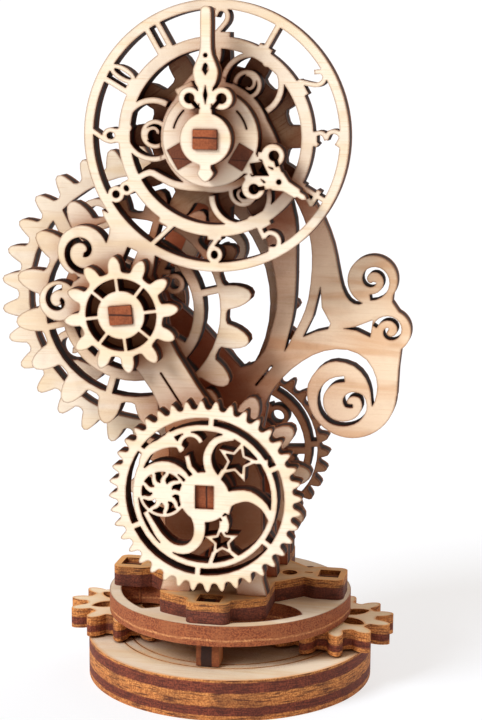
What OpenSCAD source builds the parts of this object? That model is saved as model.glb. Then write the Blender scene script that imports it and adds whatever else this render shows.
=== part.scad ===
// Laser-cut plywood gear clock on a turning base.
// Flat plates stand up along the Y axis and face -Y; the origin is the centre
// of the underside of the base and +Z points up.

/* [Plywood] */
// Thickness of every plate
ply = 4; // [3.8:0.1:4.2]
// Free play left between two plates that turn against each other
play = 0.15; // [0.1:0.05:0.2]
// Width of an axle strip
axle_w = 4.3; // [4.2:0.1:4.5]
// Thickness of an axle strip
axle_t = 3.4; // [3.3:0.1:3.6]
// Radial clearance of an axle's rounded corners in a bearing hole
bearing_play = 0.07; // [0.05:0.01:0.09]

/* [Base] */
// Radius of the two stacked base discs
base_r = 28.4; // [27.5:0.1:30]
// Radius of the turning platform
platform_r = 24.2; // [24:0.1:25]
// Distance of the four platform posts from the centre
post_r = 20; // [20:0.5:20]
// Teeth of the fixed centre gear
sun_teeth = 9; // [9]
// Teeth of each side gear
side_teeth = 12; // [12]

/* [Gear train] */
// Height of the lower axle above the table
low_z = 42.1; // [41.5:0.1:43]
// Height step from the lower axle to the left axle and from there to the dial
axle_rise = 32.7; // [32:0.1:33.5]
// Distance between meshing axles
axle_gap = 36.75; // [36.5:0.05:37]
// Teeth of the large round-toothed gear
large_teeth = 16; // [16]
// Teeth of the two round-toothed gears that it drives
drive_teeth = 12; // [12]
// Teeth of the wide rear gear
wide_teeth = 31; // [31]
// Teeth of the minute pinion
minute_teeth = 9; // [9]
// Play across the teeth at the pitch circle
backlash = 0.5; // [0.4:0.05:0.6]

/* [Dial] */
// Outer radius of the dial
dial_r = 24.65; // [24.5:0.05:25]
// Stroke width of the numerals
numeral_w = 0.85; // [0.75:0.05:0.95]

/* [Star gear] */
// Teeth of the ornamental front gear
star_teeth = 40; // [40]
// Tip radius of the ornamental front gear
star_r = 18.2; // [18:0.1:18.4]

/* [Hidden] */
$fa = 8;
$fs = 0.5;
slack = 0.05;                       // a strip sits this loose in its own slot
pressure = 23;                      // pressure angle of all teeth
low = [0, low_z];
left = [-sqrt(axle_gap * axle_gap - axle_rise * axle_rise), low_z + axle_rise];
dial = [0, low_z + 2 * axle_rise];
axle_r = 2.66;                      // radius of an axle's rounded corners
bore_r = axle_r + bearing_play;
spacer_r = 4.6;

// front faces of the plate layers, front to back
step_y = ply + play;
dial_y = -16.9;
hour_y = dial_y - step_y;
minute_y = hour_y - step_y;
large_y = dial_y + step_y;
gap_y = large_y + step_y;
scroll_y = gap_y + step_y;
wide_y = scroll_y + step_y;
back_y = wide_y + step_y;
behind_y = back_y + step_y;
stand_y = behind_y + step_y;
rear_y = stand_y + step_y;

// heights of the lying plates
base_top = 2 * ply;
side_z = base_top + 0.5;
platform_z = side_z + ply + 0.5;
hub_z = platform_z + ply;
hub_top = hub_z + ply;

large_m = 2 * axle_gap / (large_teeth + drive_teeth);
wide_m = 2 * axle_gap / (wide_teeth + minute_teeth);
side_m = 2 * post_r / (sun_teeth + side_teeth);
large_phase = 8.5;
wide_phase = 11.3;

// ---------- plane geometry ----------

function polar(r, a) = [r * cos(a), r * sin(a)];
function arc(c, r, a0, a1, n = 16) = [for (i = [0:n]) c + polar(r, a0 + (a1 - a0) * i / n)];
// spiral from radius r0 at angle a0 to radius r1 at angle a1
function coil(c, r0, r1, a0, a1, n = 28) =
    [for (i = [0:n]) c + polar(r0 + (r1 - r0) * i / n, a0 + (a1 - a0) * i / n)];
function side(a, b) = let (d = b - a) [-d[1], d[0]] / norm(d);
function normal_at(p, i) =
    let (n = len(p) - 1,
         a = side(p[max(i - 1, 0)], p[max(i, 1)]),
         b = side(p[min(i, n - 1)], p[min(i + 1, n)]),
         m = (a + b) / norm(a + b))
    m / max(0.6, m * a);

// smooth line through the points of p (Catmull-Rom), k steps from each point to the next
function between(a, b, c, d, t) =
    (2 * b + (c - a) * t + (2 * a - 5 * b + 4 * c - d) * t * t + (3 * b - a - 3 * c + d) * t * t * t) / 2;
function curve(p, k = 3) =
    let (n = len(p) - 1)
    [for (i = [0:n - 1], j = [0:(i == n - 1 ? k : k - 1)])
        between(p[max(i - 1, 0)], p[i], p[i + 1], p[min(i + 2, n)], j / k)];
function closed_curve(p, k = 3) =
    let (n = len(p))
    [for (i = [0:n - 1], j = [0:k - 1])
        between(p[(i + n - 1) % n], p[i], p[(i + 1) % n], p[(i + 2) % n], j / k)];

// band of changing width along a line of points, w0 at its start and w1 at its end
module ribbon(p, w0, w1) {
    n = len(p) - 1;
    w = [for (i = [0:n]) (w0 + (w1 - w0) * i / n) / 2];
    polygon(concat([for (i = [0:n]) p[i] + normal_at(p, i) * w[i]],
                   [for (i = [n:-1:0]) p[i] - normal_at(p, i) * w[i]]));
}
// band that is w wide in its middle and thin at both ends
module blade(p, w) {
    n = len(p) - 1;
    h = [for (i = [0:n]) 0.15 + (w / 2 - 0.15) * sin(180 * i / n)];
    polygon(concat([for (i = [0:n]) p[i] + normal_at(p, i) * h[i]],
                   [for (i = [n:-1:0]) p[i] - normal_at(p, i) * h[i]]));
}
// straight bar from a to b
module bar(a, b, w) {
    translate(a) rotate(atan2(b[1] - a[1], b[0] - a[0]))
        translate([-w * 0.3, -w / 2]) square([norm(b - a) + w * 0.6, w]);
}
module stroke(p, w) { for (i = [0:len(p) - 2]) bar(p[i], p[i + 1], w); }
module ring(r1, r2) { difference() { circle(r1); circle(r2); } }
module at(c) { translate(c) children(); }
// closes gaps narrower than 2b, then drops slivers thinner than 2a; cut takes the points off sharp notches
module soft(a, b, cut = false) {
    offset(delta = a) offset(delta = -a - b, chamfer = cut) offset(delta = b, chamfer = cut) children();
}
// rounds outer corners to radius a and inner corners to radius b
module rounded(a, b) { offset(r = a, $fn = 28) offset(delta = -a - b) offset(r = b,
        $fn = 28) children(); }
// slots in a ring, between n bridges of width w, the first bridge at angle a
module slot_ring(r1, r2, n, a, w) {
    difference() {
        ring(r1, r2);
        for (i = [0:n - 1]) rotate(a + 360 * i / n) translate([0, -w / 2]) square([r1 + 1, w]);
    }
}

// ---------- teeth ----------

function roll(a) = tan(a) * 180 / PI - a;
// half the angle that a tooth of n and module m takes up at radius r
function tooth_half(n, m, r, play_w) =
    let (rp = n * m / 2, rb = rp * cos(pressure))
    90 / n - play_w / 4 / rp * 180 / PI + roll(pressure) - (r > rb ? roll(acos(rb / r)) : 0);
function round_off(u) = u <= 0 ? 0 : 1 - sqrt(max(0, 1 - u * u));
function tooth_side(n, m, r, rt, rr, tip, foot, play_w) =
    tooth_half(n, m, r, play_w)
    + (foot * round_off((rr + foot - r) / foot) - tip * round_off((r - rt + tip) / tip)) / r * 180 / PI;
// outline of a gear with n teeth; tip and foot are the rounding radii of a tooth
function gear_points(n, m, phase, add, ded, tip, foot, play_w, k) =
    let (rt = m * (n / 2 + add), rr = m * (n / 2 - ded),
         radii = [for (j = [0:k]) rr + (rt - rr) * (1 - cos(180 * j / k)) / 2],
         half = [for (r = radii) max(0.05, tooth_side(n, m, r, rt, rr, tip, foot, play_w))])
    [for (i = [0:n - 1], j = [0:2 * k + 1])
        let (q = j <= k ? j : 2 * k + 1 - j, s = j <= k ? -1 : 1)
        polar(radii[q], phase + 360 * i / n + s * half[q])];
module toothed(n, m, phase, tip = 0.32, foot = 0.3, k = 6) {
    polygon(gear_points(n, m, phase, 0.85, 1.05, tip * m, foot * m, backlash, k));
}
// where the teeth of a second gear stand when it meshes with a first one at angle theta
function meshed(phase, n1, n2, theta) = theta + 180 - (phase - theta) * n1 / n2 + 180 / n2;
function heading(a, b) = atan2(b[1] - a[1], b[0] - a[0]);

// ---------- plates, axles and bores ----------

// upright plate whose front face is at y; its plane shape is given in X and Z
module plate(y, t = ply) { translate([0, y + t, 0]) rotate([90, 0, 0]) linear_extrude(t) children(); }
module lying(z, t = ply) { translate([0, 0, z]) linear_extrude(t) children(); }
// cut through upright plates: a bearing hole, or a slot for an axle strip turned by a
module bearing(c, y) { at([c[0], y - 1, c[1]]) rotate([-90, 0, 0]) cylinder(h = ply + 2, r = bore_r); }
module strip_slot(c, y, a, s = slack) {
    at([c[0], y + ply / 2, c[1]]) rotate([0, -a, 0])
        cube([axle_w + 2 * s, ply + 2, axle_t + 2 * s], center = true);
}
// strip with rounded corners from y0 to y1, turned by a
module axle(c, y0, y1, a) {
    at([c[0], (y0 + y1) / 2, c[1]]) rotate([0, -a, 0]) intersection() {
        cube([axle_w, y1 - y0, axle_t], center = true);
        rotate([90, 0, 0]) cylinder(h = y1 - y0 + 2, r = axle_r, center = true);
    }
}
module spacer(c, y, a) {
    difference() {
        plate(y) at(c) circle(spacer_r);
        strip_slot(c, y, a);
    }
}
low_turn = 90;
left_turn = 6;
minute_turn = 0;

// ---------- base ----------

module base_disc_lower() { color("peru") lying(0) circle(base_r, $fn = 96); }

pin_r = 3;
module base_disc_upper() {
    groove_r = 22.4;
    color("burlywood") difference() {
        lying(ply) circle(base_r, $fn = 96);
        lying(ply - 1, ply + 2) circle(pin_r + slack);
        for (r = [groove_r, groove_r - 2.2]) lying(base_top - 0.3, 1) ring(r, r - 0.25);
    }
}

module fixed_centre_gear() {
    color("wheat") difference() {
        lying(base_top) toothed(sun_teeth, side_m, 0);
        lying(base_top - 1, ply + 2) circle(pin_r + slack);
    }
}

module turntable_pin() { color("sienna") lying(ply, hub_z - ply + 2) circle(pin_r); }

leaf_c = 18.6;
leaf_r = 7.6;
module platform() {
    color("burlywood") difference() {
        lying(platform_z) difference() {
            circle(platform_r, $fn = 96);
            for (i = [0:3]) rotate(30.5 + 90 * i) intersection() {
                circle(platform_r - 2.3);
                translate([leaf_c, 0]) circle(leaf_r);
            }
            for (i = [0:3]) rotate(90 * i) post_hole();
        }
        lying(platform_z - 1, ply + 2) circle(pin_r + bearing_play);
    }
}

post_w = 4.4;
module post_hole(s = slack) { translate([post_r, 0]) square([ply + 2 * s, post_w + 2 * s],
        center = true); }

module hub_arm(root, tip) {
    w = 8.4;
    polygon([[6, -root], [11, -root], [13.6, -tip - 1], [15.4, -tip + 0.8], [17.6, -w / 2],
             [23.3, -w / 2], [23.3, w / 2], [17.6, w / 2], [15.4, tip - 0.8], [13.6, tip + 1],
             [11, root], [6, root]]);
}
module hub_plate() {
    color("chocolate") difference() {
        lying(hub_z) difference() {
            rounded(1.5, 1) union() {
                translate([-10.4, -17.6]) square([20.8, 35.2]);
                for (a = [0, 180]) rotate(a) hub_arm(7.4, 4);
                for (a = [90, 270]) rotate(a) polygon([[15, -10.4], [17.9, -10.4], [19.4, -7.4],
                                                       [20.6, -4.2], [23.3, -4.2], [23.3, 4.2],
                                                       [20.6, 4.2], [19.4, 7.4], [17.9, 10.4],
                                                       [15, 10.4]]);
            }
            for (i = [0:3]) rotate(90 * i) post_hole();
            for (s = [-1, 1]) {
                translate([s * 12.2, -0.8]) circle(1.5);
                translate([s * 15.9, 0]) square([1.6, 0.5], center = true);
            }
            for (y = [dial_y, scroll_y, back_y, stand_y], s = [-1, 1]) foot_slot(y, s, 2 * slack);
        }
        lying(hub_z - 1, 4) circle(pin_r + bearing_play);
    }
}
foot_x = 7.7;
foot_w = 3;
module foot_slot(y, s, c) {
    translate([s * foot_x, y + ply / 2]) square([foot_w + c, ply + c], center = true);
}
module foot_tabs(y) { for (s = [-1, 1]) translate([0, 0, hub_z + 0.5]) linear_extrude(ply) foot_slot(y,
        s, 0); }

module post(a, gear) {
    color("saddlebrown") rotate(a) {
        lying(platform_z, 2 * ply - 0.8) translate([post_r, 0]) square([ply, post_w], center = true);
        if (gear) lying(base_top + 0.2, platform_z - base_top) translate([post_r, 0]) circle(1.95);
        else lying(base_top + 0.2, platform_z - base_top) translate([post_r, 0])
            square([ply, post_w], center = true);
    }
}
module post_front() { post(-90, false); }
module post_back() { post(90, false); }
module post_left() { post(180, true); }
module post_right() { post(0, true); }

module side_gear(a, phase) {
    color("burlywood") rotate(a) difference() {
        lying(side_z) translate([post_r, 0]) difference() {
            toothed(side_teeth, side_m, phase);
            for (i = [0:5]) rotate(60 * i + 30) translate([5.6, 0]) scale_lens();
        }
        lying(side_z - 1, ply + 2) translate([post_r, 0]) circle(2.03);
    }
}
// lens-shaped opening between two arcs
module scale_lens() { intersection() { translate([0, -2.2]) circle(3.9); translate([0,
        2.2]) circle(3.9); } }
side_phase = meshed(0, sun_teeth, side_teeth, 0);
side_phase_left = meshed(0, sun_teeth, side_teeth, 180) - 180;
module side_gear_right() { side_gear(0, side_phase); }
module side_gear_left() { side_gear(180, side_phase_left); }

// ---------- dial and front frame ----------

digit_h = 4.8;
digit_w = 2.7;
function glyph(p) = [for (q = p) [q[0] * digit_w, q[1] * digit_h]];
module oval(y, rx, ry, w) {
    difference() {
        polygon([for (i = [0:19]) [rx * cos(18 * i), y + ry * sin(18 * i)]]);
        polygon([for (i = [0:19]) [(rx - w) * cos(18 * i), y + (ry - w) * sin(18 * i)]]);
    }
}
// digits between the two rings: x across, y from the foot (0) to the top (digit_h)
module digit(n) {
    w = numeral_w;
    if (n == 0) oval(digit_h / 2, 1.3, digit_h / 2 + 0.3, w);
    if (n == 1) bar([0, 0], [0, digit_h], w * 1.15);
    if (n == 2) {
        ribbon(curve(glyph([[-0.44, 0.72], [-0.2, 0.97], [0.2, 0.97], [0.42, 0.78], [0.3, 0.5],
                            [-0.42, 0.05]])), w, w);
        bar(glyph([[-0.42, 0.06]])[0], glyph([[0.5, 0.06]])[0], w);
    }
    if (n == 3) {
        ribbon(curve(glyph([[-0.46, 0.84], [-0.1, 1.02], [0.34, 0.9], [0.34, 0.64],
                            [-0.06, 0.5]])), w, w);
        ribbon(curve(glyph([[-0.06, 0.54], [0.42, 0.4], [0.46, 0.12], [0.1, -0.04],
                            [-0.46, 0.12]])), w, w);
    }
    if (n == 4) stroke(glyph([[0.2, 0], [0.2, 1], [-0.5, 0.32], [0.5, 0.32]]), w);
    if (n == 5) {
        stroke(glyph([[0.42, 0.97], [-0.34, 0.97], [-0.38, 0.56]]), w);
        ribbon(curve(glyph([[-0.4, 0.56], [0.06, 0.63], [0.44, 0.42], [0.4, 0.14], [0, -0.04],
                            [-0.48, 0.1]])), w, w);
    }
    if (n == 6) {
        oval(1.45, 1.5, 1.6, w);
        ribbon(curve([[0.8, digit_h + 0.1], [0, 3.7], [-0.75, 2.6], [-1.05, 1.5]]), w, w);
    }
    if (n == 7) stroke(glyph([[-0.45, 0.95], [0.42, 0.95], [-0.1, 0]]), w);
    if (n == 8) { oval(1.4, 1.55, 1.55, w); oval(digit_h - 1.1, 1.35, 1.25, w * 0.9); }
    if (n == 9) rotate(180) translate([0, -digit_h]) digit(6);
}
// an hour number on its pedestal; hours 3 to 9 stand with their tops inward
module hour_number(h) {
    flip = h > 2 && h < 10;
    rotate(90 - 30 * h - 90) translate([0, numeral_in]) {
        translate([-1.3, -0.4]) square([2.6, 1.05]);
        translate([0, flip ? digit_h : 0]) rotate(flip ? 180 : 0)
            if (h < 10) digit(h);
            else {
                translate([-1.35, 0]) digit(1);
                translate([h == 11 ? 0.9 : 1.1, 0]) digit(h - 10);
            }
    }
}
ring_w = 1.75;
numeral_in = dial_r - ring_w - digit_h + 0.02;
inner_r = numeral_in - 2.2;
hub_r = 10.1;
hub_in = 8.6;
curl_r = 11.2;
module dial_curl() {
    c = polar(curl_r, 0);
    big = c + [0.45, -0.75];
    at(c) ring(2.65, 1.85);
    ribbon(coil(c, 1.9, 0.5, 40, -170, 12), 0.7, 0.5);
    ribbon(arc(big, 5.35, 122, -118, 26), 0.9, 1.1);
    // small claw on the inside of the arc
    at(big + polar(4.7, -2)) circle(0.75);
    // wavy band from the inner ring to the hub ring
    ribbon(curve([polar(inner_r + 0.6, 30), polar(13.9, 30.5), polar(12.7, 38), polar(11.6, 50),
                  polar(10.3, 64), polar(9.3, 82)]), 1.1, 1.5);
}
module dial_face() {
    difference() { circle(dial_r, $fn = 120); circle(dial_r - ring_w, $fn = 120); }
    ring(numeral_in + 0.02, inner_r, $fn = 96);
    for (h = [1:12]) hour_number(h);
    ring(hub_r, hub_in);
    difference() {
        for (a = [58, 178, 298]) rotate(a) dial_curl();
        circle(hub_in);
    }
}

scroll_a = [-25.2, 85.9];
scroll_b = [-30, 76.4];
module front_neck() {
    difference() {
        union() {
            polygon(closed_curve([[-21.4, 93.8], [-19.9, 90.4], [-20.8, 87], [-22.4, 82.8], [-27, 80.2],
                                  [-29, 73.6], [-24.5, 71.2], [-20.5, 67.8], [-16.5, 65.6],
                                  [-13.3, 61.8], [-10.6, 57.1], [-8.6, 48], [-9.3, 40], [8.6, 40],
                                  [6.6, 49], [-1.1, 58.2], [-5.2, 64.2], [-8.8, 70.4], [-9.8, 77],
                                  [-11.9, 81.8], [-11.2, 86], [-14, 90]], 2));
            at(scroll_a) circle(4.9);
            at(scroll_b) circle(3.8);
            at(low) circle(9.2);
            polygon([[-9.2, 42], [-9.6, hub_top + 3], [-10.4, hub_top + 0.05], [-4.6, hub_top + 0.05],
                     [-3.6, 27.5], [0, 30.5], [3.6, 27.5], [4.6, hub_top + 0.05],
                     [10.4, hub_top + 0.05], [9.6, hub_top + 3], [9.2, 42]]);
        }
        at(scroll_a) ribbon(coil([0, 0], 3.9, 0.6, -70, -430), 1.15, 0.9);
        at(scroll_b) ribbon(coil([0, 0], 2.7, 0.5, 75, 400), 1, 0.7);
        // rectangular opening and the thin relief cut down the arm
        at([-16.3, 84.9]) rotate(-24) square([2.1, 3.7], center = true);
        bar([-10.2, 63.4], [-6.2, 57.4], 0.35);
        at([-26.9, 81]) circle(0.7);
    }
}
module front_frame() {
    color("blanchedalmond") difference() {
        union() {
            plate(dial_y) soft(0.12, 0.15) union() {
                at(dial) dial_face();
                difference() { front_neck(); at(dial) circle(dial_r - 0.5); }
            }
            foot_tabs(dial_y);
        }
        bearing(low, dial_y);
        bearing(left, dial_y);
    }
}

// ---------- frames behind ----------

curl_1 = [27.9, 80.5];
curl_2 = [31.3, 70.9];
curl_3 = [24.3, 58.4];
module scroll_shape() {
    difference() {
        union() {
            // the two arms from the dial axle and the body that they run into
            polygon(closed_curve([[-2, 104], [5, 97], [6.6, 91], [8.3, 84.5], [9.4, 79.6], [9.6, 74.7],
                                  [8.5, 70], [7.4, 66.4], [4.9, 63.5], [2.2, 62.6], [-1, 60.5],
                                  [-4, 54], [-6, 42], [3, 42], [6.4, 48], [8, 56], [10.7, 60.8],
                                  [14.8, 64.5], [18.9, 66.6], [23.4, 67], [27.1, 65.4], [28.6, 63],
                                  [31.6, 66], [33, 69], [31, 74.8], [27.8, 76.6], [25.4, 75.8],
                                  [23.6, 76.5], [22.2, 78.9], [21.3, 82.7], [20.3, 87.1], [18.4, 91.9],
                                  [15.6, 96.4], [11, 101.6], [5, 108]], 2));
            at(dial) circle(7.4);
            at(low) circle(8.6);
            polygon([[-8.6, 42], [-10.2, hub_top + 0.05], [-4.8, hub_top + 0.05], [-3.8, 28], [0, 31],
                     [3.8, 28], [4.8, hub_top + 0.05], [10.2, hub_top + 0.05], [8.6, 42]]);
            // arm to the left axle
            ribbon([left, [-8, 67.5], [1, 58]], 8.6, 9);
            at(left) circle(5.6);
            at(curl_1) circle(4.75);
            at(curl_2) circle(4.1);
            at(curl_3) circle(8.6);
            polygon([[30.8, 83.5], [32, 80], [31.7, 76.5], [33.6, 73.8], [29, 74], [27, 77]]);
            polygon([[29, 67], [33.6, 67.4], [33.2, 63.6], [33, 58.4], [28.5, 57], [29.4, 62]]);
        }
        // pointed openings between the arms and above the big curl
        polygon([[18, 79], [18.3, 75], [20, 72], [19.6, 70.9], [17.2, 70.3], [14.8, 69.2], [16.6, 73]]);
        polygon([[22.5, 71.1], [24.8, 71.5], [28.1, 72.9], [27.7, 69.6], [25, 70.8]]);
        polygon(closed_curve([[11.8, 97], [13.7, 94], [15.2, 90.4], [16.1, 87], [16.3, 82.5],
                              [15.7, 76.6], [14.4, 72.6], [12.6, 68.9], [11.2, 66.2], [12.2, 70.5],
                              [13, 74.5], [13.3, 80.5], [13.2, 89.9], [12.7, 93]], 2));
        // crescent between the body and the big curl, open to the left
        polygon(closed_curve([[8, 54], [8.4, 57.5], [10.9, 60.9], [14.8, 64.4], [18.9, 66.6],
                              [23.4, 67], [27.1, 65.2], [29, 61.7], [29.1, 58.6], [28.3, 56.2],
                              [28, 58.8], [27, 61.6], [24.7, 63.9], [21.2, 64.7], [18.6, 63.8],
                              [16.6, 61.6], [15.5, 58.6], [15.6, 55], [15, 52]], 2));
        // coiled cut-outs
        at(curl_1) ribbon(coil([0, 0], 3.3, 0.5, -97, 320, 24), 1.15, 0.7);
        at(curl_2) ribbon(coil([0, 0], 2.9, 0.4, 165, -240, 24), 0.85, 0.6);
        at([22.6, 57]) ribbon(curve([[0.3, 4.3], [-2.2, 3.7], [-4.1, 1.4], [-4.1, -1.6], [-2.5, -3.8],
                                     [0.2, -4.5], [2.8, -3.6], [4.2, -1.4], [3.7, 0.9], [1.8, 1.4],
                                     [0.5, 0.4], [0.8, -0.8], [2, -0.9]]), 1.15, 0.7);
        bar([8.8, 63.3], [5.7, 59.4], 0.35);
    }
}
module scroll_frame() {
    color("tan") difference() {
        union() {
            plate(scroll_y) soft(0.12, 0.15) scroll_shape();
            foot_tabs(scroll_y);
        }
        for (c = [low, left, dial]) bearing(c, scroll_y);
    }
}

module legs(w, top) {
    polygon([[-w + 1.6, top], [-w, hub_top + 4], [-w, hub_top + 0.05], [-4.9, hub_top + 0.05],
             [-4, 27.5], [0, 30], [4, 27.5], [4.9, hub_top + 0.05], [w, hub_top + 0.05],
             [w, hub_top + 4], [w - 1.6, top]]);
}
module back_frame() {
    color("tan") difference() {
        union() {
            plate(back_y) soft(0.3, 0.4) union() {
                legs(10.9, low_z);
                at(low) circle(8.4);
                ribbon([low, (low + left) / 2 + [1.2, 0.4], left], 8.4, 8.4);
                ribbon([left, (left + dial) / 2 + [1.2, -0.6], dial], 8.4, 7.4);
                at(left) circle(6);
                at(dial) circle(6);
            }
            foot_tabs(back_y);
        }
        for (c = [low, left, dial]) bearing(c, back_y);
    }
}
module rear_stand() {
    color("tan") difference() {
        union() {
            plate(stand_y) soft(0.3, 0.4) union() {
                legs(10.4, low_z);
                at(low) circle(8);
            }
            foot_tabs(stand_y);
        }
        bearing(low, stand_y);
    }
}

// ---------- lower axle ----------

module lower_axle() { color("brown") axle(low, minute_y + 0.7, rear_y + ply + 0.6, low_turn); }
star_m = star_r / (star_teeth / 2 + 0.85);

module ray_star(r, w) {
    difference() {
        polygon([for (i = [0:9]) polar(i % 2 == 0 ? r : r * 0.46, 36 * i)]);
        polygon([for (i = [0:9]) polar(i % 2 == 0 ? r - 2.3 * w : r * 0.46 - w * 0.85, 36 * i)]);
    }
}
module sun(r) {
    circle(1.95);
    ring(r, r - 0.6);
    for (i = [0:8]) rotate(40 * i)
        ribbon([[1.6, 0], [2.3, 0.35], [3, 0.2], [3.7, -0.25], [r - 0.2, -0.3]], 1.1, 0.55);
}
// sun, moon and stars inside the toothed rim
module night_sky(r) {
    circle(4.75);
    at([-7.9, 0.4]) sun(4.6);
    blade(arc([-7.5, 0.2], 5.4, 178, 12, 14), 1.7);
    // band from the hub over the right hand opening to the rim
    ribbon(curve([[3, -2.4], [3.9, -0.6], [5.6, 0.3], [8.4, 0.6], [11.2, -1.2], [12.7, -4.2]]), 3.6, 0.9);
    ribbon(curve([[3.6, -3.4], [4.2, -5], [4, -6.4]]), 1.2, 0.8);
    // band round the lower left opening
    ribbon(curve([[-1.4, -3.6], [-0.9, -5.6], [-1.3, -8.2], [-3.2, -10.1], [-6, -10], [-8.4, -8],
                  [-9.9, -5.6], [-11.2, -3.4]]), 2.4, 0.9);
    // open ring above the hub
    ribbon(curve([[5.4, 11.6], [2.2, 10.8], [0.6, 8.2], [0.8, 5.6], [2, 3.6]]), 1.2, 1.8);
    // thin crescent on the upper left
    blade(arc([-6.6, 4.2], 5.6, 178, 60, 16), 1.9);
    bar([-4.3, 8.7], [-6.8, 11.7], 0.9);
    ribbon(arc([-2.6, 9.6], 2.1, 215, 20, 10), 0.9, 0.8);
    ribbon([[-3.3, 7.7], [-2.8, 5.6], [-1.4, 4]], 0.9, 1);
    // stars on their thin arms
    at([6.1, 7.1]) rotate(3) ray_star(4, 0.62);
    at([3.3, -8.2]) rotate(95) ray_star(3.3, 0.62);
    bar([9.6, 7.2], [11.6, 7.3], 0.75);
    bar([2.6, 3.6], [3.5, 5.1], 0.9);
    bar([3.3, -4.6], [3.3, -5.6], 0.9);
    bar([1.8, -10.6], [1.1, -12.6], 0.8);
    bar([5.3, -10.4], [6.7, -11.4], 0.8);
}
module star_gear() {
    rim = 12.55;
    color("blanchedalmond") difference() {
        plate(minute_y) at(low) soft(0.08, 0.1, true) {
            difference() {
                toothed(star_teeth, star_m, 2, 0.3, 0.3, 4);
                slot_ring(14.95, 13.65, 6, 25, 1);
                circle(rim);
            }
            night_sky(rim);
        }
        strip_slot(low, minute_y, low_turn);
    }
}
module lower_drive_gear() {
    ph = meshed(large_phase, large_teeth, drive_teeth, heading(left, low));
    color("blanchedalmond") difference() {
        plate(large_y) at(low) difference() {
            toothed(drive_teeth, large_m, ph);
            slot_ring(10.6, 7, 6, ph, 1.8);
        }
        strip_slot(low, large_y, low_turn);
    }
}
rear_m = 1.06;
module curled_spoke(r0, r1) {
    m = (r0 + r1) / 2;
    ribbon([polar(r0, 0), polar(m, 14), polar(r1, 16)], 1.5, 1.4);
    at(polar(m + 0.6, -9)) ring((r1 - r0) * 0.3, (r1 - r0) * 0.3 - 0.95);
    ribbon([polar(m, 12), polar(m + (r1 - r0) * 0.2, 4)], 1.1, 0.9);
}
module rear_disc_gear() {
    color("tan") difference() {
        plate(rear_y) at(low) soft(0.08, 0.1) difference() {
            toothed(wide_teeth, rear_m, 9.4, 0.32, 0.3, 4);
            slot_ring(14.9, 13.7, 6, 5, 1.2);
            difference() {
                circle(12.3);
                circle(5.2);
                for (i = [0:4]) rotate(72 * i + 55) curled_spoke(4.8, 12.6);
            }
        }
        strip_slot(low, rear_y, low_turn);
    }
}
module lower_spacer_front() { color("brown") spacer(low, hour_y, low_turn); }
module lower_spacer_middle() { color("brown") spacer(low, gap_y, low_turn); }
module lower_spacer_inner() { color("brown") spacer(low, wide_y, low_turn); }
module lower_spacer_rear() { color("brown") spacer(low, behind_y, low_turn); }

// ---------- left axle ----------

module left_axle() { color("brown") axle(left, hour_y - 0.5, behind_y + ply + 0.4, left_turn); }
module front_pinion() {
    m = 11 / (6 + 0.85);
    color("blanchedalmond") difference() {
        plate(hour_y) at(left) difference() {
            toothed(12, m, 8);
            slot_ring(6.75, 4.5, 8, left_turn + 2, 0.65);
        }
        strip_slot(left, hour_y, left_turn);
    }
}
module large_gear() {
    color("blanchedalmond") difference() {
        plate(large_y) at(left) soft(0.1, 0.1) difference() {
            toothed(large_teeth, large_m, large_phase);
            slot_ring(17.1, 14, 6, 14, 1.3);
            difference() {
                circle(12);
                circle(6.2);
                for (i = [0:3]) rotate(90 * i + 40) curled_spoke(5.8, 12.3);
            }
        }
        strip_slot(left, large_y, left_turn);
    }
}
module wide_gear() {
    color("burlywood") difference() {
        plate(wide_y) at(left) soft(0.1, 0.1) difference() {
            toothed(wide_teeth, wide_m, wide_phase, 0.3, 0.3, 5);
            difference() {
                circle(24.4);
                circle(7.5);
                for (i = [0:3]) rotate(90 * i + 42) {
                    ribbon(curve([polar(7, -8), polar(13, 8), polar(19, 12), polar(24.8, 6)]), 3.2, 2.6);
                    ribbon(coil(polar(18.6, -10), 3.9, 1, 70, -300), 1.6, 1.1);
                    ribbon([polar(18.6, -10) + polar(3.9, 64), polar(19, 9)], 1.8, 2.2);
                }
            }
        }
        strip_slot(left, wide_y, left_turn);
    }
}
module left_spacer() { color("brown") spacer(left, gap_y, left_turn); }
module left_end_ring() { color("brown") spacer(left, behind_y, left_turn); }

// ---------- hands ----------

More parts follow.
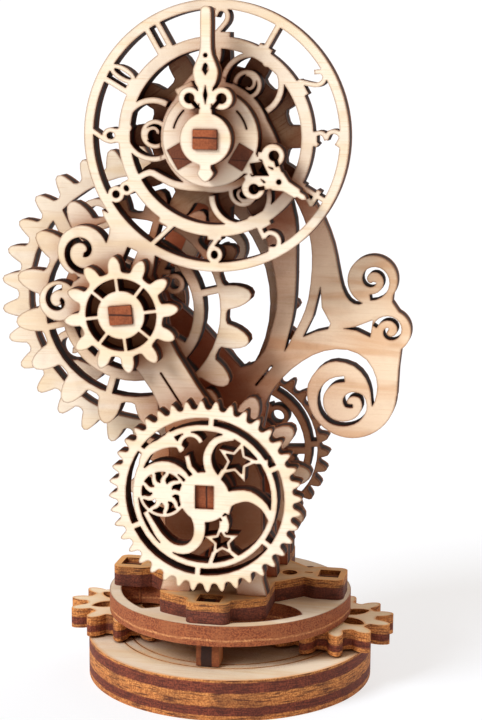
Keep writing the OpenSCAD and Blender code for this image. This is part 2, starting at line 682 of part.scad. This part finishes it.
tab_r = 6.5;
tab_t = 2.9;
hour_out = 8.8;
module tab_slot(a, s) { rotate(a) translate([tab_r, 0]) square([tab_t + 2 * s, ply + 2 * s],
        center = true); }
module hour_gear() {
    ph = meshed(large_phase, large_teeth, drive_teeth, heading(left, dial));
    color("blanchedalmond") difference() {
        plate(large_y) at(dial) difference() {
            toothed(drive_teeth, large_m, ph);
            for (a = [90, 210, 330]) tab_slot(a, slack);
        }
        bearing(dial, large_y);
    }
}
module hour_shape() {
    hand = -31;
    difference() {
        union() {
            circle(hour_out);
            rotate(58 + 60) translate([7.6, -1.7]) square([3, 3.4]);
            rotate(hand) {
                polygon([[8, -2.4], [9.6, -1.5], [13.4, -1.1], [15.5, -0.5], [19.9, -0.5], [20.6, 0],
                         [19.9, 0.5], [15.5, 0.5], [13.4, 1.1], [9.6, 1.5], [8, 2.4]]);
                polygon([[12.2, -1.2], [14.4, -1.9], [16.2, -1], [18.6, -0.9], [19.2, 0], [18.6, 0.9],
                         [16.2, 1], [14.4, 1.9], [12.2, 1.2]]);
                for (s = [-1, 1]) at([11.3, s * 3.4]) circle(2.1);
                for (s = [-1, 1]) ribbon([[9, s * 2], [11.4, s * 3.2], [14.2, s * 1]], 1.3, 1.2);
            }
        }
        rotate(hand) {
            polygon([[8.5, 0], [10.2, -1.5], [12.6, 0], [10.2, 1.5]]);
            for (s = [-1, 1]) at([11.5, s * 3.5]) circle(0.95);
            at([14.7, 0]) circle(0.5);
        }
        for (a = [30, 150]) ribbon(arc([0, 0], 6.9, a - 16, a + 16, 10), 0.3, 0.3);
        // the openings of the two curls
        rotate(hand) for (s = [-1, 1]) bar([12, s * 3.2], [12.9, s * 2.4], 0.7);
    }
}
module hour_hand() {
    color("wheat") difference() {
        plate(hour_y) at(dial) difference() {
            soft(0.1, 0.1) hour_shape();
            for (a = [90, 210, 330]) tab_slot(a, slack);
        }
        bearing(dial, hour_y);
    }
}
module hour_tab(a) { color("brown") plate(hour_y, 2 * ply + ply + 2 * play) at(dial) tab_slot(a, 0); }
module hour_tab_top() { hour_tab(90); }
module hour_tab_left() { hour_tab(210); }
module hour_tab_right() { hour_tab(330); }

module minute_axle() { color("brown") axle(dial, minute_y - 0.6, behind_y + ply + 0.4, minute_turn); }
module minute_shape() {
    difference() {
        union() {
            circle(4.65);
            polygon(closed_curve([[-1.3, 9], [-2.25, 11.6], [-1.7, 13.6], [-1, 15.8], [-0.95, 22],
                                  [-0.6, 23], [0, 23.2], [0.6, 23], [0.95, 22], [1, 15.8], [1.7, 13.6],
                                  [2.25, 11.6], [1.3, 9]]));
            polygon([[-1.3, 3], [-1.1, 6], [-1.4, 9.6], [1.4, 9.6], [1.1, 6], [1.3, 3]]);
            for (s = [-1, 1]) at([s * 2.9, 7.2]) circle(2);
            polygon(closed_curve([[-1.1, -3], [-1, -5], [-1.5, -6.1], [0, -7.6], [1.5, -6.1], [1, -5],
                                  [1.1, -3]]));
        }
        for (s = [-1, 1]) at([s * 2.9, 7.2]) circle(0.95);
        at([0, 14.7]) circle(0.42);
        polygon([[0, 11.2], [0.6, 12.2], [0.35, 13.1], [0, 13.4], [-0.35, 13.1], [-0.6, 12.2]]);
        polygon([[0, 6.1], [0.4, 7.8], [0, 9.6], [-0.4, 7.8]]);
        // the openings of the two curls
        for (s = [-1, 1]) bar([s * 2.3, 6.6], [s * 1.3, 5.4], 0.7);
    }
}
module minute_hand() {
    color("wheat") difference() {
        plate(minute_y) at(dial) soft(0.1, 0.1) minute_shape();
        strip_slot(dial, minute_y, minute_turn);
    }
}
module minute_pinion() {
    color("wheat") difference() {
        plate(wide_y) at(dial)
            toothed(minute_teeth, wide_m, meshed(wide_phase, wide_teeth, minute_teeth, heading(left,
                    dial)));
        strip_slot(dial, wide_y, minute_turn);
    }
}
module dial_spacer() { color("brown") spacer(dial, gap_y, minute_turn); }
module dial_end_ring() { color("brown") spacer(dial, behind_y, minute_turn); }

base_disc_lower();
base_disc_upper();
fixed_centre_gear();
turntable_pin();
platform();
hub_plate();
post_front();
post_back();
post_left();
post_right();
side_gear_left();
side_gear_right();
front_frame();
scroll_frame();
back_frame();
rear_stand();
lower_axle();
star_gear();
lower_drive_gear();
rear_disc_gear();
lower_spacer_front();
lower_spacer_middle();
lower_spacer_inner();
lower_spacer_rear();
left_axle();
front_pinion();
large_gear();
wide_gear();
left_spacer();
left_end_ring();
hour_gear();
hour_hand();
hour_tab_top();
hour_tab_left();
hour_tab_right();
minute_axle();
minute_hand();
minute_pinion();
dial_spacer();
dial_end_ring();
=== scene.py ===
import math
import bpy
import numpy as np
from mathutils import Matrix, Vector


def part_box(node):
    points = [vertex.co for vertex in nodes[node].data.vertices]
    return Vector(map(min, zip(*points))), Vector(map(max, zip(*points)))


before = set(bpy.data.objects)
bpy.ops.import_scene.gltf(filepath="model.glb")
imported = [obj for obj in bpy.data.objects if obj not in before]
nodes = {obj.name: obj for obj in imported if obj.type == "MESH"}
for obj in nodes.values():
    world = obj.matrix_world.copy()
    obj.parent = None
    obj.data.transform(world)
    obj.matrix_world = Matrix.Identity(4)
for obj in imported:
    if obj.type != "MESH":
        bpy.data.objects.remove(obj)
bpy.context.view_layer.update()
print("frame loaded:", len(nodes), "plates and strips")

scene = bpy.context.scene
scene.view_settings.view_transform = "Standard"
scene.view_settings.look = "None"


# The eye stands to the right of the model, a little above the middle of the dial, and looks left and down.
cameraSettings = {
    "place": (0.0633, -0.3190, 0.1230),    # metres
    "azimuth": 10.9,           # degrees, as are pitch and roll
    "pitch": 10.4,
    "roll": 0.36,
    "lens": 84.25,             # mm, as is the film
    "filmHeight": 36.0,
    "nearest": 0.01,           # metres, anything closer is cut off
}


def makeCamera(s):
    # the view axis is (-sin a cos p, cos a cos p, -sin p) for azimuth a and downward pitch p
    a, p, r = (math.radians(s[k]) for k in ("azimuth", "pitch", "roll"))
    ahead = Vector((-math.sin(a) * math.cos(p), math.cos(a) * math.cos(p), -math.sin(p)))
    right = ahead.cross(Vector((0, 0, 1))).normalized()
    up = right.cross(ahead)
    turnedRight = math.cos(r) * right + math.sin(r) * up
    turnedUp = math.cos(r) * up - math.sin(r) * right
    data = bpy.data.cameras.new("camera")
    data.sensor_fit = "VERTICAL"
    data.sensor_height = s["filmHeight"]
    data.lens = s["lens"]
    data.clip_start = s["nearest"]
    cam = bpy.data.objects.new("camera", data)
    turn = Matrix((turnedRight, turnedUp, -ahead)).transposed().to_4x4()
    cam.matrix_world = Matrix.Translation(s["place"]) @ turn
    scene.collection.objects.link(cam)
    scene.camera = cam


makeCamera(cameraSettings)
print("camera set")


def linear(hexColour):
    # sRGB hex to linear RGBA
    c = [int(hexColour[i:i + 2], 16) / 255 for i in (0, 2, 4)]
    return [x / 12.92 if x <= 0.04045 else ((x + 0.055) / 1.055) ** 2.4 for x in c] + [1.0]


def add(tree, kind, settings=None, inputs=None):
    # A node with its properties and sockets set. A socket or a node given as a value is linked.
    # Sockets go by name or by number: in a map range 0 is the value, 1 and 2 what it runs from and 4 the
    # most that it gives; in a mix 0 is the factor, 2 and 3 are numbers and 6 and 7 are colours.
    n = tree.nodes.new("ShaderNode" + kind)
    for key, value in (settings or {}).items():
        setattr(n, key, value)
    for key, value in (inputs or {}).items():
        if isinstance(value, bpy.types.Node):
            value = next(o for o in value.outputs if o.enabled)
        if isinstance(value, bpy.types.NodeSocket):
            tree.links.new(value, n.inputs[key])
        else:
            n.inputs[key].default_value = value
    return n


# node settings that come up again and again
colourMix = {"data_type": "RGBA"}
colourTimes = {"data_type": "RGBA", "blend_type": "MULTIPLY"}
smooth = {"interpolation_type": "SMOOTHSTEP"}
times = {"operation": "MULTIPLY"}
timesClamped = {"operation": "MULTIPLY", "use_clamp": True}
timesPlus = {"operation": "MULTIPLY_ADD"}
xAxis, yAxis, zAxis = 0, 1, 2
mmPerMetre = 1000.0
grainSeed = 3.7                # how far apart in the grain two pieces are cut


# Three plies, 4 mm thick. The veneer faces are pale, dry and matt with a fine straight grain. The beam
# leaves the cut walls scorched brown with a darker core ply, and a smoked line where it met the face.
plywoodSettings = {
    "sheet": 4.0,              # mm, thickness of the sheet
    "faceFrom": 0.7,           # a surface this square to the plies is a face, the rest is a cut wall
    "faceRough": 0.62,
    "wallRough": 0.8,
    "ior": 1.45,
    "bump": 0.25,
    "bumpDepth": 0.0001,       # m
    # veneer
    "face": "F6EAD6",
    "faceWarm": "F0DCBC",
    "faceFleck": "DDBE93",
    "grainWidth": 0.3,         # mm across the grain
    "grainLength": 11.0,       # mm along it
    "grainTurn": 0.0,          # degrees in the plane of the sheet
    "grainDetail": 4.0,
    "grainRough": 0.6,
    "grainBend": 0.3,
    "figureAcross": 0.16,      # waves to the mm of the slow drift of tone
    "figureAlong": 0.03,
    "figureBend": 1.2,
    "driftFrom": 0.4,          # where the tone starts to warm and where it is warmest
    "driftTo": 0.7,
    "fleckFrom": 0.5,          # where a fibre starts to darken and where it is darkest
    "fleckTo": 0.75,
    "fleckAmount": 0.5,
    # smoke on the face
    "smoke": "8A5A36",
    "smokeWidth": 0.4,         # mm of smoked face beside a cut
    "smokeAmount": 0.75,
    "smokeFrom": 0.98,         # open share of the sheet where the smoke starts and where it is full
    "smokeTo": 0.5,
    "smokeUneven": 0.8,        # how much the clouds vary it, and its least strength
    "smokeLeast": 0.6,
    "rimLine": "8A5A36",       # the very edge of the smoked strip
    "rimFrom": 0.76,
    "rimTo": 0.64,
    "cloud": 0.2,              # waves to the mm of the slow clouds in smoke and char
    "patchAmount": 0.12,       # larger brown patches on a face
    "patchFrom": 0.5,
    "patchTo": 0.7,
    # cut wall
    "outerPly": "7A4526",
    "outerPlyLight": "A4683A",
    "corePly": "3E1F13",
    "corePlyDark": "26110B",
    "coreFrom": 0.24,          # the core ply's low and high face, as shares of the sheet
    "coreTo": 0.76,
    "plyWobble": 0.16,         # how far the plies wander, as a share of the sheet
    "plyBlend": 0.03,          # half the width of the glue line between two plies
    "striation": 0.22,         # mm between the beam's marks on a cut wall
    "striationRun": 0.25,      # waves to the mm along a mark
    "speckle": 0.34,           # mm, grit of the char
    "speckleAmount": 0.35,
    "speckleFrom": 0.42,
    "speckleTo": 0.6,
    "burntAmount": 0.5,        # larger patches burnt nearly black
    "burntFrom": 0.45,
    "burntTo": 0.7,
    "streakAmount": 0.0,       # soot drawn out along a cut wall
    "streakAlong": 0.4,        # waves to the mm
    "streakAcross": 4.0,
    "streakFrom": 0.48,
    "streakTo": 0.66,
    # painted shade between pieces: the colour is browned where neighbouring pieces close off the sky
    "paintedShade": "B87A54",        # painted shade: the colour a deep recess is multiplied by
    "paintedShadeReach": 16.0,       # mm
    "paintedShadeFrom": 0.92,        # open share of the sky where it starts and where it is full
    "paintedShadeTo": 0.3,
    "paintedShadeAmount": 1.0,
}


def laserCutPlywood(name, node, normalAxis, grainAxis, seed, **changes):
    s = dict(plywoodSettings, **changes)
    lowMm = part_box(node)[0][normalAxis] * mmPerMetre
    shift = (seed * grainSeed, seed * grainSeed / 2, seed * grainSeed / 3)
    mat = bpy.data.materials.new(name)
    mat.use_nodes = True
    t = mat.node_tree
    t.nodes.clear()
    place = add(t, "TexCoord")
    mm = add(t, "VectorMath", {"operation": "SCALE"}, {0: place.outputs["Object"], "Scale": mmPerMetre})
    here = add(t, "SeparateXYZ", None, {0: mm}).outputs[normalAxis]
    facing = add(t, "SeparateXYZ", None, {0: place.outputs["Normal"]}).outputs[normalAxis]
    flat = add(t, "Math", {"operation": "ABSOLUTE"}, {0: facing})
    onFace = add(t, "Math", {"operation": "GREATER_THAN"}, {0: flat, 1: s["faceFrom"]})
    depth = add(t, "MapRange", None, {0: here, 1: lowMm, 2: lowMm + s["sheet"]})

    # veneer: a fine noise drawn out along the grain over a slow drift of tone
    spin = [0.0, 0.0, 0.0]
    spin[normalAxis] = 1.0
    turn = math.radians(s["grainTurn"])
    turned = add(t, "VectorRotate", None, {"Vector": mm, "Axis": spin, "Angle": turn})
    fine = [1 / s["grainWidth"]] * 3
    fine[grainAxis] = 1 / s["grainLength"]
    broad = [s["figureAcross"]] * 3
    broad[grainAxis] = s["figureAlong"]
    finePlace = add(t, "VectorMath", timesPlus, {0: turned, 1: fine, 2: shift})
    broadPlace = add(t, "VectorMath", timesPlus, {0: turned, 1: broad, 2: shift})
    fibre = add(t, "TexNoise", None, {"Vector": finePlace, "Scale": 1.0, "Detail": s["grainDetail"],
                                      "Roughness": s["grainRough"], "Distortion": s["grainBend"]})
    figure = add(t, "TexNoise", None, {"Vector": broadPlace, "Scale": 1.0, "Detail": 3.0,
                                       "Distortion": s["figureBend"]})
    drift = add(t, "MapRange", smooth, {0: figure, 1: s["driftFrom"], 2: s["driftTo"]})
    veneer = add(t, "Mix", colourMix, {0: drift, 6: linear(s["face"]), 7: linear(s["faceWarm"])})
    fleck = add(t, "MapRange", smooth, {0: fibre, 1: s["fleckFrom"], 2: s["fleckTo"], 4: s["fleckAmount"]})
    veneer = add(t, "Mix", colourMix, {0: fleck, 6: veneer, 7: linear(s["faceFleck"])})

    # smoke on the face: slow brown patches, and a rim beside each cut with a line at its very edge
    cloud = add(t, "TexNoise", None, {"Vector": mm, "Scale": s["cloud"], "Detail": 4.0})
    near = add(t, "AmbientOcclusion", {"inside": True, "only_local": True, "samples": 6},
               {"Distance": s["smokeWidth"] / mmPerMetre}).outputs["AO"]
    rim = add(t, "MapRange", smooth, {0: near, 1: s["smokeFrom"], 2: s["smokeTo"], 4: s["smokeAmount"]})
    uneven = add(t, "Math", timesPlus, {0: cloud, 1: s["smokeUneven"], 2: s["smokeLeast"]})
    rim = add(t, "Math", timesClamped, {0: rim, 1: uneven})
    patch = add(t, "MapRange", smooth, {0: cloud, 1: s["patchFrom"], 2: s["patchTo"], 4: s["patchAmount"]})
    veneer = add(t, "Mix", colourMix, {0: patch, 6: veneer, 7: linear(s["smoke"])})
    edgeLine = add(t, "MapRange", smooth, {0: near, 1: s["rimFrom"], 2: s["rimTo"]})
    rimColour = add(t, "Mix", colourMix, {0: edgeLine, 6: linear(s["smoke"]), 7: linear(s["rimLine"])})
    veneer = add(t, "Mix", colourMix, {0: rim, 6: veneer, 7: rimColour})

    # cut wall: two outer plies and the core, with grit and with the beam's marks through the sheet
    line = [1 / s["striation"]] * 3
    line[normalAxis] = s["striationRun"]
    linePlace = add(t, "VectorMath", timesPlus, {0: mm, 1: line, 2: shift})
    marks = add(t, "TexNoise", None, {"Vector": linePlace, "Scale": 1.0, "Detail": 3.0})
    grit = add(t, "TexNoise", None, {"Vector": mm, "Scale": 1 / s["speckle"], "Detail": 2.0})
    gritty = add(t, "MapRange", smooth, {0: grit, 1: s["speckleFrom"], 2: s["speckleTo"]})
    wobble = add(t, "Math", timesPlus, {0: cloud, 1: s["plyWobble"], 2: -s["plyWobble"] / 2})
    level = add(t, "Math", {"operation": "ADD"}, {0: depth, 1: wobble})
    low, high, blend = s["coreFrom"], s["coreTo"], s["plyBlend"]
    above = add(t, "MapRange", smooth, {0: level, 1: low - blend, 2: low + blend})
    below = add(t, "MapRange", smooth, {0: level, 1: high + blend, 2: high - blend})
    core = add(t, "Math", times, {0: above, 1: below})
    texture = add(t, "Mix", None, {0: s["speckleAmount"], 2: marks, 3: gritty})
    outer = add(t, "Mix", colourMix, {0: texture, 6: linear(s["outerPly"]), 7: linear(s["outerPlyLight"])})
    inner = add(t, "Mix", colourMix, {0: texture, 6: linear(s["corePlyDark"]), 7: linear(s["corePly"])})
    wall = add(t, "Mix", colourMix, {0: core, 6: outer, 7: inner})
    burnt = add(t, "MapRange", smooth, {0: cloud, 1: s["burntFrom"], 2: s["burntTo"], 4: s["burntAmount"]})
    wall = add(t, "Mix", colourMix, {0: burnt, 6: wall, 7: linear(s["corePlyDark"])})
    streak = [s["streakAlong"]] * 3
    streak[normalAxis] = s["streakAcross"]
    streakPlace = add(t, "VectorMath", timesPlus, {0: mm, 1: streak, 2: shift})
    streaks = add(t, "TexNoise", None, {"Vector": streakPlace, "Scale": 1.0, "Detail": 3.0})
    soot = add(t, "MapRange", smooth, {0: streaks, 1: s["streakFrom"], 2: s["streakTo"],
                                       4: s["streakAmount"]})
    wall = add(t, "Mix", colourMix, {0: soot, 6: wall, 7: linear(s["corePlyDark"])})

    # both, with painted shade: browner where the wood is closed in by its neighbours, standing in for
    # their shadow
    colour = add(t, "Mix", colourMix, {0: onFace, 6: wall, 7: veneer})
    around = add(t, "AmbientOcclusion", {"samples": 4},
                 {"Distance": s["paintedShadeReach"] / mmPerMetre}).outputs["AO"]
    paintedShadeShare = add(t, "MapRange", None, {0: around, 1: s["paintedShadeFrom"], 2: s["paintedShadeTo"],
                                       4: s["paintedShadeAmount"]})
    colour = add(t, "Mix", colourTimes, {0: paintedShadeShare, 6: colour, 7: linear(s["paintedShade"])})
    rough = add(t, "Math", timesPlus, {0: onFace, 1: s["faceRough"] - s["wallRough"], 2: s["wallRough"]})
    relief = add(t, "Mix", None, {0: onFace, 2: marks, 3: fibre})
    bump = add(t, "Bump", None, {"Strength": s["bump"], "Distance": s["bumpDepth"], "Height": relief})
    shader = add(t, "BsdfPrincipled", None, {"Base Color": colour, "Roughness": rough, "IOR": s["ior"],
                                             "Normal": bump})
    add(t, "OutputMaterial", None, {"Surface": shader})
    return mat


# which way each sheet lies: the axis through its plies and the axis of its grain
lying = (zAxis, xAxis)
upright = (yAxis, xAxis)
sideways = (xAxis, zAxis)
edgeways = (yAxis, zAxis)
wayOfNode = {
    "base_disc_lower": lying, "base_disc_upper": lying, "fixed_centre_gear": lying, "platform": lying,
    "hub_plate": lying, "side_gear_left": lying, "side_gear_right": lying,
    "post_front": sideways, "post_back": sideways, "turntable_pin": sideways,
    "post_left": edgeways, "post_right": edgeways,
    "lower_axle": (xAxis, yAxis), "left_axle": (zAxis, yAxis), "minute_axle": (zAxis, yAxis),
    "hour_tab_top": (zAxis, yAxis), "hour_tab_left": (zAxis, yAxis), "hour_tab_right": (zAxis, yAxis),
}

# How each piece differs from the plain sheet. The base's walls are scorched orange and sooty, the hub
# plate and side gears most of all. Axle strips and hour tabs are red-brown, and their core is so thin that
# it draws one dark line across the end. The sheets at the back get a browner painted shade.
orangeWalls = {
    "outerPly": "8E4A1E", "outerPlyLight": "ECA25A", "corePly": "96492F", "corePlyDark": "471C12",
    "speckle": 0.3, "speckleAmount": 0.5, "streakAmount": 0.8,
    "smoke": "D08A44", "rimLine": "F0B068", "smokeWidth": 0.8, "smokeAmount": 0.8,
}
heavyChar = dict(
    orangeWalls, face="E6C79C", faceWarm="D2A878", smoke="B4763A", smokeWidth=1.4, smokeAmount=1.0,
    patchAmount=0.25, paintedShadeAmount=0.1,
)
sideGear = dict(
    heavyChar, coreFrom=0.2, coreTo=0.55, face="F6E6C8", faceWarm="EACDA0", smokeWidth=0.7,
    patchAmount=0.1,
)
redStrip = {
    "face": "8A4B2C", "faceWarm": "6E3721", "faceFleck": "43200F", "smokeAmount": 0.3,
    "outerPly": "84401F", "outerPlyLight": "B0623A", "corePly": "4A2212", "corePlyDark": "2E130A",
    "coreFrom": 0.46, "coreTo": 0.54, "paintedShadeAmount": 0.4,
}
darkStrip = dict(redStrip, outerPly="5A2C1A", outerPlyLight="7E452A", coreTo=0.5)
post = {"face": "E0BC90", "faceWarm": "C89A6A"}
# painted shade: the back sheets get a browner face and a deep, far-reaching painted shade for the shadow
# cast by the front pieces
shadedFarSheet = {"face": "F6DFC2", "faceWarm": "E2B890", "paintedShade": "A8603F", "paintedShadeReach": 30.0}
finishOfNode = {
    "base_disc_lower": dict(orangeWalls, coreFrom=0.25, coreTo=0.68, paintedShadeAmount=0.4),
    "base_disc_upper": dict(
        # painted shade: a dark brown ring on the top face where it lies under the platform
        orangeWalls, coreFrom=0.36, coreTo=0.88, smokeWidth=1.0, paintedShade="7A4A30", paintedShadeFrom=0.42,
        paintedShadeTo=0.12,
    ),
    "platform": {
        "outerPly": "6A2E1A", "outerPlyLight": "AC6238", "corePly": "E0A068", "corePlyDark": "A0603A",
        "coreFrom": 0.24, "coreTo": 0.34, "speckle": 0.3, "speckleAmount": 0.7, "streakAmount": 0.75,
        "smoke": "B98552", "smokeWidth": 0.4, "paintedShadeAmount": 0.15,
    },
    "hub_plate": dict(
        heavyChar, coreFrom=-0.3, coreTo=0.62, corePly="8A4630", corePlyDark="3E1A12",
        outerPly="86481F", outerPlyLight="DC9650",
    ),
    "side_gear_left": sideGear,
    "side_gear_right": sideGear,
    "fixed_centre_gear": orangeWalls,
    "turntable_pin": orangeWalls,
    "post_front": post,
    "post_back": post,
    "post_left": post,
    "post_right": post,
    "lower_axle": redStrip,
    "left_axle": redStrip,
    "minute_axle": redStrip,
    "hour_tab_top": darkStrip,
    "hour_tab_left": darkStrip,
    "hour_tab_right": darkStrip,
    "hour_gear": {
        "grainTurn": 35.0, "grainLength": 5.0, "fleckAmount": 1.0, "face": "F5DEB6",
        # painted shadow: a strong brown painted shade where the hands overhang the gear
        "faceWarm": "DDB684", "faceFleck": "BE8E5C", "paintedShade": "8C5636", "paintedShadeReach": 12.0,
    },
    "wide_gear": {"paintedShadeReach": 12.0},
    "scroll_frame": shadedFarSheet,
    "back_frame": shadedFarSheet,
    "rear_stand": shadedFarSheet,
    # painted shade: a browner face for the gear that sits in the shade at the back
    "rear_disc_gear": dict(shadedFarSheet, face="EAD2AE", faceWarm="D9BA8B"),
}

for count, (name, obj) in enumerate(sorted(nodes.items())):
    normalAxis, grainAxis = wayOfNode.get(name, upright)
    finish = finishOfNode.get(name, {})
    obj.data.materials.clear()
    wood = "birch plywood, laser cut, " + name
    obj.data.materials.append(laserCutPlywood(wood, name, normalAxis, grainAxis, count + 1.0, **finish))
print("plywood finishes made:", len(nodes))


# A large soft key light from the upper left, a weak wide one from behind, and a white paper sweep. The
# surround is seen white and lights the model a little warm.
studioSettings = {
    "floorSize": 60.0,         # metres, so that its far edge is never seen
    "floorDrop": 0.00005,      # metres below the model's underside
    "floorColour": "A0A8B2",
    "floorRough": 0.9,
    "floorGlow": 0.64,         # paper lit from below, which keeps it white round the shadow
    "backdrop": 1.05,          # how bright the surround is seen
    "sky": 0.42,               # how bright it is for the model
    "skyColour": "FFE2C8",
    "keyStrength": 2.8,
    "keySoftness": 24.0,       # degrees across
    "keyFrom": (-0.60, -0.66, 0.66),
    "fillStrength": 0.8,
    "fillSoftness": 60.0,
    "fillFrom": (0.50, 0.80, 0.60),
}


def makeStudio(s):
    half = s["floorSize"] / 2
    mesh = bpy.data.meshes.new("floor")
    corners = np.array([(-half, -half, 0), (half, -half, 0), (half, half, 0), (-half, half, 0)])
    mesh.from_pydata((corners - (0, 0, s["floorDrop"])).tolist(), [], [(0, 1, 2, 3)])
    floor = bpy.data.objects.new("floor", mesh)
    scene.collection.objects.link(floor)
    mat = bpy.data.materials.new("white paper sweep, lit from below")
    mat.use_nodes = True
    paper = mat.node_tree.nodes["Principled BSDF"].inputs
    paper["Base Color"].default_value = linear(s["floorColour"])
    paper["Roughness"].default_value = s["floorRough"]
    paper["Emission Color"].default_value = (1, 1, 1, 1)
    paper["Emission Strength"].default_value = s["floorGlow"]
    mesh.materials.append(mat)

    world = bpy.data.worlds.new("studio")
    world.use_nodes = True
    t = world.node_tree
    seen = add(t, "LightPath").outputs["Is Camera Ray"]
    strength = add(t, "Mix", None, {0: seen, 2: s["sky"], 3: s["backdrop"]})
    tint = add(t, "Mix", colourMix, {0: seen, 6: linear(s["skyColour"]), 7: (1, 1, 1, 1)})
    t.links.new(next(o for o in strength.outputs if o.enabled), t.nodes["Background"].inputs["Strength"])
    t.links.new(next(o for o in tint.outputs if o.enabled), t.nodes["Background"].inputs["Color"])
    scene.world = world

    for name in ("key", "fill"):
        data = bpy.data.lights.new(name, "SUN")
        data.energy = s[name + "Strength"]
        data.angle = math.radians(s[name + "Softness"])
        lamp = bpy.data.objects.new(name, data)
        lamp.rotation_euler = (-Vector(s[name + "From"])).to_track_quat("-Z", "Y").to_euler()
        scene.collection.objects.link(lamp)


makeStudio(studioSettings)
print("studio lit")
